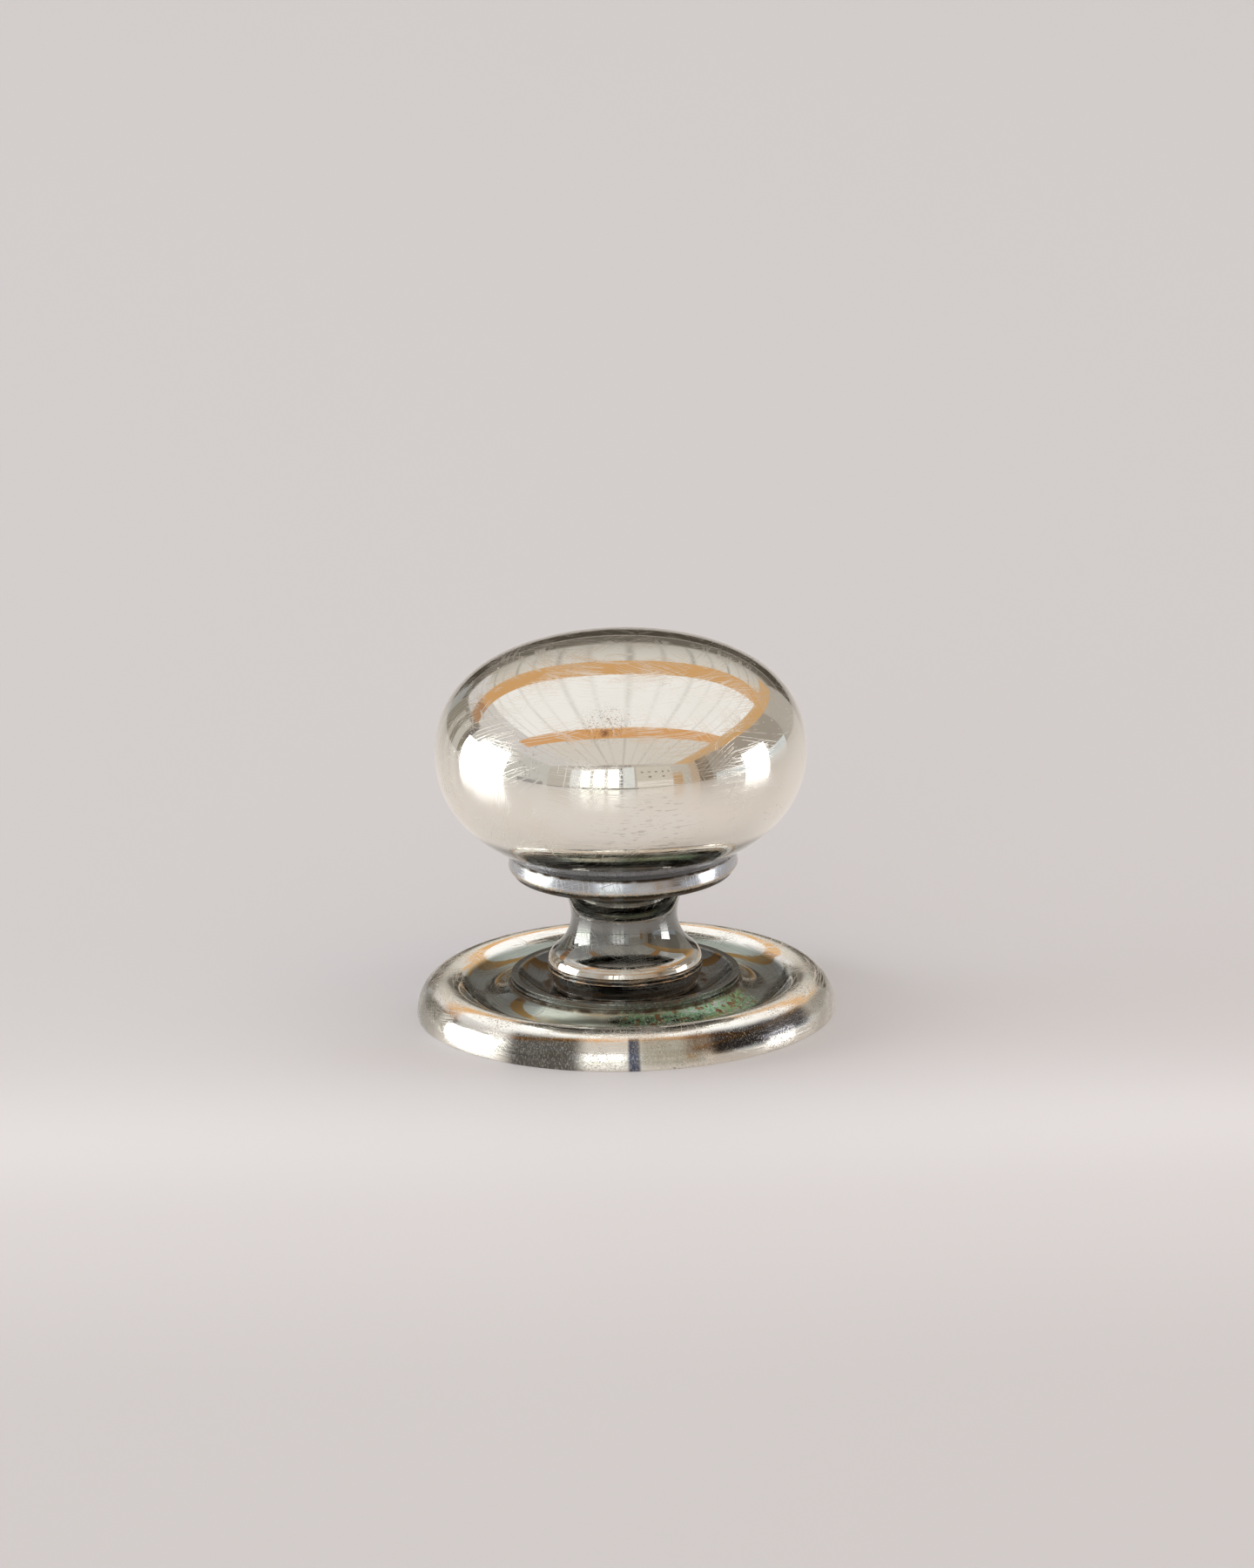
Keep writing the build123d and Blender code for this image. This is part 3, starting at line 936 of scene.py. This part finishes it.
# Upright cards of the room in ceiling heights: from x, y to x, y, foot, top and glow
WALLS = {
    "front wall": (-1.73, -1.66, 1.58, -1.66, 0.0, 1.0, (0.6, 0.56, 0.5)),
    "skirting": (-1.73, -1.655, 0.3, -1.655, 0.0, 0.035, (0.33, 0.31, 0.29)),
    "left curtain": (-1.02, -1.655, -0.78, -1.655, 0.05, 0.8, (0.92, 0.94, 0.95)),
    "valance": (-1.04, -1.65, 0.2, -1.65, 0.86, 0.96, (0.42, 0.37, 0.34)),
    "window edge": (-0.005, -1.65, 0.03, -1.65, 0.05, 0.86, (0.25, 0.27, 0.3)),
    "right curtain": (0.03, -1.655, 0.24, -1.655, 0.05, 0.86, (0.88, 0.91, 0.9)),
    "shelves": (0.28, -1.655, 1.02, -1.655, 0.04, 0.86, (0.72, 0.67, 0.59)),
    "low cupboard": (0.28, -1.65, 1.02, -1.65, 0.04, 0.25, (0.92, 0.87, 0.8)),
    "door": (1.05, -1.655, 1.3, -1.655, 0.02, 0.54, (0.6, 0.4, 0.22)),
    "left wall": (-1.73, -1.66, -1.73, 0.9, 0.0, 1.0, (0.66, 0.65, 0.62)),
    "left bench": (-1.725, -1.5, -1.725, -0.75, 0.0, 0.13, (0.4, 0.39, 0.38)),
    "left wall back": (-1.73, 0.9, -1.73, 3.2, 0.0, 1.0, (0.3, 0.275, 0.225)),
    "left panel": (-1.725, 1.1, -1.725, 1.45, 0.0, 0.85, (0.62, 0.6, 0.55)),
    "left panel back": (-1.725, 1.75, -1.725, 2.1, 0.0, 0.85, (0.55, 0.52, 0.46)),
    "post": (-1.725, 0.82, -1.725, 0.98, 0.45, 0.9, (0.2, 0.17, 0.17)),
    "back cupboard": (-1.73, 3.195, -1.16, 3.195, 0.0, 0.7, (0.4, 0.41, 0.4)),
    "back wall": (-1.73, 3.2, 1.58, 3.2, 0.57, 0.93, (0.16, 0.142, 0.118)),
    "high rail": (-1.73, 3.2, 1.58, 3.2, 0.93, 1.0, (0.3, 0.27, 0.23)),
    "low rail": (-1.16, 3.2, 1.58, 3.2, 0.53, 0.57, (0.42, 0.38, 0.33)),
    "back foot": (-1.16, 3.2, 1.58, 3.2, 0.0, 0.53, (0.08, 0.068, 0.052)),
    "right wall front": (1.58, -1.66, 1.58, -1.37, 0.0, 1.0, (0.58, 0.45, 0.33)),
    "dark press": (1.58, -1.37, 1.58, -0.99, 0.0, 1.0, (0.27, 0.22, 0.17)),
    "right wall": (1.58, -0.99, 1.58, 1.15, 0.0, 1.0, (0.4, 0.36, 0.31)),
    "right sill": (1.575, -0.9, 1.575, 1.1, 0.0, 0.17, (0.75, 0.8, 0.82)),
    "right wall back": (1.58, 1.15, 1.58, 3.2, 0.0, 1.0, (0.5, 0.47, 0.42)),
}

# Level cards under the ceiling in ceiling heights: from x to x, from y to y, drop in metres and glow
BEAMS = {
    "front beam": (-1.2, 1.25, -0.42, -0.17, 0.02, (0.78, 0.43, 0.19)),
    "back beam": (-1.1, 1.25, 1.04, 1.6, 0.02, (0.73, 0.43, 0.19)),
    "back beam end": (-1.73, -1.1, 1.02, 1.6, 0.02, (0.5, 0.29, 0.16)),
    "side beam": (1.15, 1.58, -1.66, 2.74, 0.03, (0.7, 0.44, 0.21)),
}

# Boarded ceiling in ceiling heights: from x to x, from y to y, boards, seams and the boards' far end
CEILING = {
    "ceiling": (-0.94, 1.58, -0.3, 1.3, (1.04, 1.035, 1.02), (0.82, 0.81, 0.78), None),
    "front ceiling": (-0.94, 1.58, -1.66, -0.3, (0.78, 0.74, 0.68), (0.6, 0.57, 0.51), None),
    "back ceiling": (-0.94, 1.58, 1.3, 3.2, (0.84, 0.8, 0.74), (0.42, 0.4, 0.36), (0.5, 0.48, 0.43)),
    "side ceiling": (-1.73, -0.94, -1.66, 3.2, (0.76, 0.74, 0.73), (0.58, 0.57, 0.56), None),
}

# Side windows in ceiling heights: from x, y to x, y, foot, top and strength
SIDE_WINDOWS = {
    "left window": (-1.725, -0.4, -1.725, 0.45, 0.02, 0.77, 5.0),
    "left window back": (-1.725, 0.45, -1.725, 0.88, 0.02, 0.58, 5.0),
    "right window": (1.57, -0.22, 1.57, 0.37, 0.02, 0.42, 4.8),
}
DAYLIGHT, GARDEN = (1.0, 1.0, 1.0), (0.92, 1.0, 0.88)
BOX, LOW_BOX = (0.3, 0.26, 0.21), (0.34, 0.28, 0.22)


def room(height):
    """Boarded ceiling with warm beams under it, pale and dark walls, shelves and windows."""

    def wall(x0, y0, x1, y1, foot, top):
        return upright(x0 * height, y0 * height, x1 * height, y1 * height, foot * height, top * height)

    def above(x0, x1, y0, y1, drop):
        return level(x0 * height, x1 * height, y0 * height, y1 * height, height - drop)

    for name, (x0, x1, y0, y1, boards, seams, far) in CEILING.items():
        boarded(card(name, above(x0, x1, y0, y1, 0), boards), boards, seams, far)
    for name, (*sides, glow) in WALLS.items():
        card(name, wall(*sides), glow)
    for name, (x0, x1, y0, y1, drop, glow) in BEAMS.items():
        card(name, above(x0, x1, y0, y1, drop), glow)
    first_box, box_step, shelf = 0.36, 0.14, -1.645
    for i in range(5):
        x = first_box + box_step * i
        card(f"box {i}", wall(x, shelf, x + 0.05, shelf, 0.59, 0.66), BOX)
        if i % 2:
            card(f"low box {i}", wall(x, shelf, x + 0.06, shelf, 0.38, 0.45), LOW_BOX)
    first_pane, pane_step, pane, front = -0.77, 0.265, 0.2, -1.65
    for i in range(3):
        x = first_pane + pane_step * i
        card(f"front window {i}", wall(x, front, x + pane, front, 0.055, 0.77), DAYLIGHT, 2.3, GARDEN)
    for name, (*sides, strength) in SIDE_WINDOWS.items():
        card(name, wall(*sides), DAYLIGHT, strength, GARDEN if "left" in name else None)


def table(tone):
    """Pale table top: matt, with a painted pool of light and a faint painted glow just in front of the knob,
    and painted brighter in the metal's reflections.
    """
    deselect_all()
    bpy.ops.mesh.primitive_circle_add(vertices=96, radius=2.4, fill_type="NGON", location=(0, 0, 0))
    top = bpy.context.object
    top.name = top.data.name = "table"
    material = bpy.data.materials.new("table top")
    material.use_nodes = True
    shader = material.node_tree.nodes["Principled BSDF"]
    nodes = Nodes(material.node_tree)
    # Painted light: the table is paler in a band just in front of the knob, and brighter where the metal
    # reflects it
    away, painted_pool_tone, painted_reflected_tone = (tuple(min(c * k, 0.97) for c in tone) for k in (1.03, 1.17, 1.34))
    depth = nodes.split(nodes.add("ShaderNodeTexCoord").outputs["Object"])["Y"]
    matt = nodes.blend(nodes.between(depth, -0.09, -0.01, 0.04), away, painted_pool_tone)
    seen = nodes.add("ShaderNodeLightPath").outputs["Is Camera Ray"]
    looks = {
        "Base Color": nodes.blend(seen, painted_reflected_tone, matt),
        "Roughness": nodes.ramp(seen, 0.0, 1.0, 0.2, 0.45, smooth=False),
        "IOR": 1.45,
        "Specular IOR Level": nodes.ramp(seen, 0.0, 1.0, 0.5, 0.06, smooth=False),
        # Painted glow on the band in front of the knob, seen by the camera only
        "Emission Color": (0.95, 0.96, 1.0),
        "Emission Strength": nodes.times(nodes.between(depth, -0.05, -0.03, 0.02), seen, 0.07),
    }
    for name, value in looks.items():
        nodes.feed(shader.inputs[name], value)
    top.data.materials.append(material)
    return top


def pale_world(tone):
    """Pale background for the camera, and nearly no light of its own."""
    world = bpy.data.worlds.new("studio")
    bpy.context.scene.world = world
    world.use_nodes = True
    tree = world.node_tree
    nodes = Nodes(tree)
    path = nodes.add("ShaderNodeLightPath")
    seen = nodes.most(path.outputs["Is Camera Ray"], path.outputs["Is Glossy Ray"])
    tree.nodes["Background"].inputs["Color"].default_value = (*tone, 1.0)
    nodes.feed(tree.nodes["Background"].inputs["Strength"], seen)


def camera(setup):
    """Long lens, level with the photograph's own view of the knob."""
    scale = 11.24 / MM          # picture dots to a metre at the knob
    frame_high = 1800           # dots
    sideways, upwards = 1.0, 258.9   # from the plate's centre to the middle of the picture, in dots
    deselect_all()
    bpy.ops.object.camera_add()
    made = bpy.context.object
    made.name = "camera"
    back = Vector((0, -cos(setup.elevation), sin(setup.elevation)))
    rest = back.to_track_quat("Z", "Y").to_matrix()
    turned = rest @ Matrix.Rotation(-setup.roll, 3, "Z")
    made.rotation_euler = turned.to_euler()
    shift = turned @ Vector((sideways / scale, upwards / scale, 0))
    made.location = back * setup.distance + shift
    sensor = 36                 # millimetres
    made.data.sensor_width = sensor
    made.data.lens = sensor * scale * setup.distance / frame_high
    made.data.clip_start, made.data.clip_end = 0.1, 20
    bpy.context.scene.camera = made


# Operators


class TurnKnob(Operator):
    """Turn the knob: head, collar, neck and swelled foot in one piece"""

    bl_idname = "cupboard_knob.turn_knob"
    bl_label = "Turn the knob"

    def execute(self, context):
        sizes, finish = context.scene.knob_sizes, context.scene.nickel_finish
        turns = context.scene.studio_setup.turns
        piece = turned_piece("turned_knob", knob_section(sizes), turns, sizes.edge_break)
        seat = sizes.seat_height / MM
        corners = [(radius, seat + rise, reach) for radius, rise, reach in KNOB_CORNERS.values()]
        piece.data.materials.append(nickel("polished nickel", finish, corners, knob_tarnish_and_shade, knob_stains_and_painted_shade))
        bore, deepest = sizes.tapped_diameter / 2 + 0.2 * MM, 20 * MM
        facing(piece, thread(finish), lambda middle, _: middle.xy.length < bore and middle.z < deepest)
        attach(piece, "root")
        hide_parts("knob")
        return {"FINISHED"}


class TurnBackPlate(Operator):
    """Turn the back plate: rim, hollow, raised ring and dished seat"""

    bl_idname = "cupboard_knob.turn_back_plate"
    bl_label = "Turn the back plate"

    def execute(self, context):
        sizes, finish = context.scene.plate_sizes, context.scene.nickel_finish
        turns = context.scene.studio_setup.turns
        piece = turned_piece("turned_back_plate", plate_section(sizes), turns, sizes.edge_break)
        corners = PLATE_CORNERS.values()
        # Its material carries painted shade, a painted highlight and painted reflections besides the wear
        worn_and_painted = nickel("worn nickel", finish, corners, plate_tarnish_and_shade, plate_stains_and_painted_light, plate_rim, 0.02)
        piece.data.materials.append(worn_and_painted)
        foot = 7.25 * MM
        facing(piece, turned_back(finish), lambda middle, way: way.z < -0.9 or middle.xy.length < foot)
        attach(piece, "root")
        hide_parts("back_plate")
        return {"FINISHED"}


class SetStage(Operator):
    """Set the knob on a pale table in a soft white room, with the camera in front"""

    bl_idname = "cupboard_knob.set_stage"
    bl_label = "Set the stage"

    def execute(self, context):
        setup = context.scene.studio_setup
        table(tuple(setup.table))
        room(setup.room_height)
        pale_world((0.62, 0.585, 0.56))
        camera(setup)
        context.scene.view_settings.view_transform = "Standard"
        return {"FINISHED"}


class KnobPanel(Panel):
    """Lists the knob's sizes, its finish and its operators"""

    bl_idname = "VIEW3D_PT_cupboard_knob"
    bl_label = "Cupboard knob"
    bl_space_type = "VIEW_3D"
    bl_region_type = "UI"
    bl_category = "Cupboard knob"

    def draw(self, context):
        for operator in (TurnKnob, TurnBackPlate, SetStage):
            self.layout.operator(operator.bl_idname)
        for name in GROUPS:
            box = self.layout.box()
            settings = getattr(context.scene, name)
            for size in settings.__annotations__:
                box.prop(settings, size)


GROUPS = {
    "knob_sizes": KnobSizes,
    "plate_sizes": PlateSizes,
    "nickel_finish": NickelFinish,
    "studio_setup": StudioSetup,
}
CLASSES = (KnobSizes, PlateSizes, NickelFinish, StudioSetup, TurnKnob, TurnBackPlate, SetStage, KnobPanel)


def register():
    for made in CLASSES:
        bpy.utils.register_class(made)
    for name, group in GROUPS.items():
        setattr(bpy.types.Scene, name, PointerProperty(type=group))


def unregister():
    for name in GROUPS:
        delattr(bpy.types.Scene, name)
    for made in reversed(CLASSES):
        bpy.utils.unregister_class(made)


def main():
    register()
    bpy.ops.cupboard_knob.turn_knob()
    bpy.ops.cupboard_knob.turn_back_plate()
    bpy.ops.cupboard_knob.set_stage()
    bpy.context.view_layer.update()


if __name__ == "__main__":
    main()
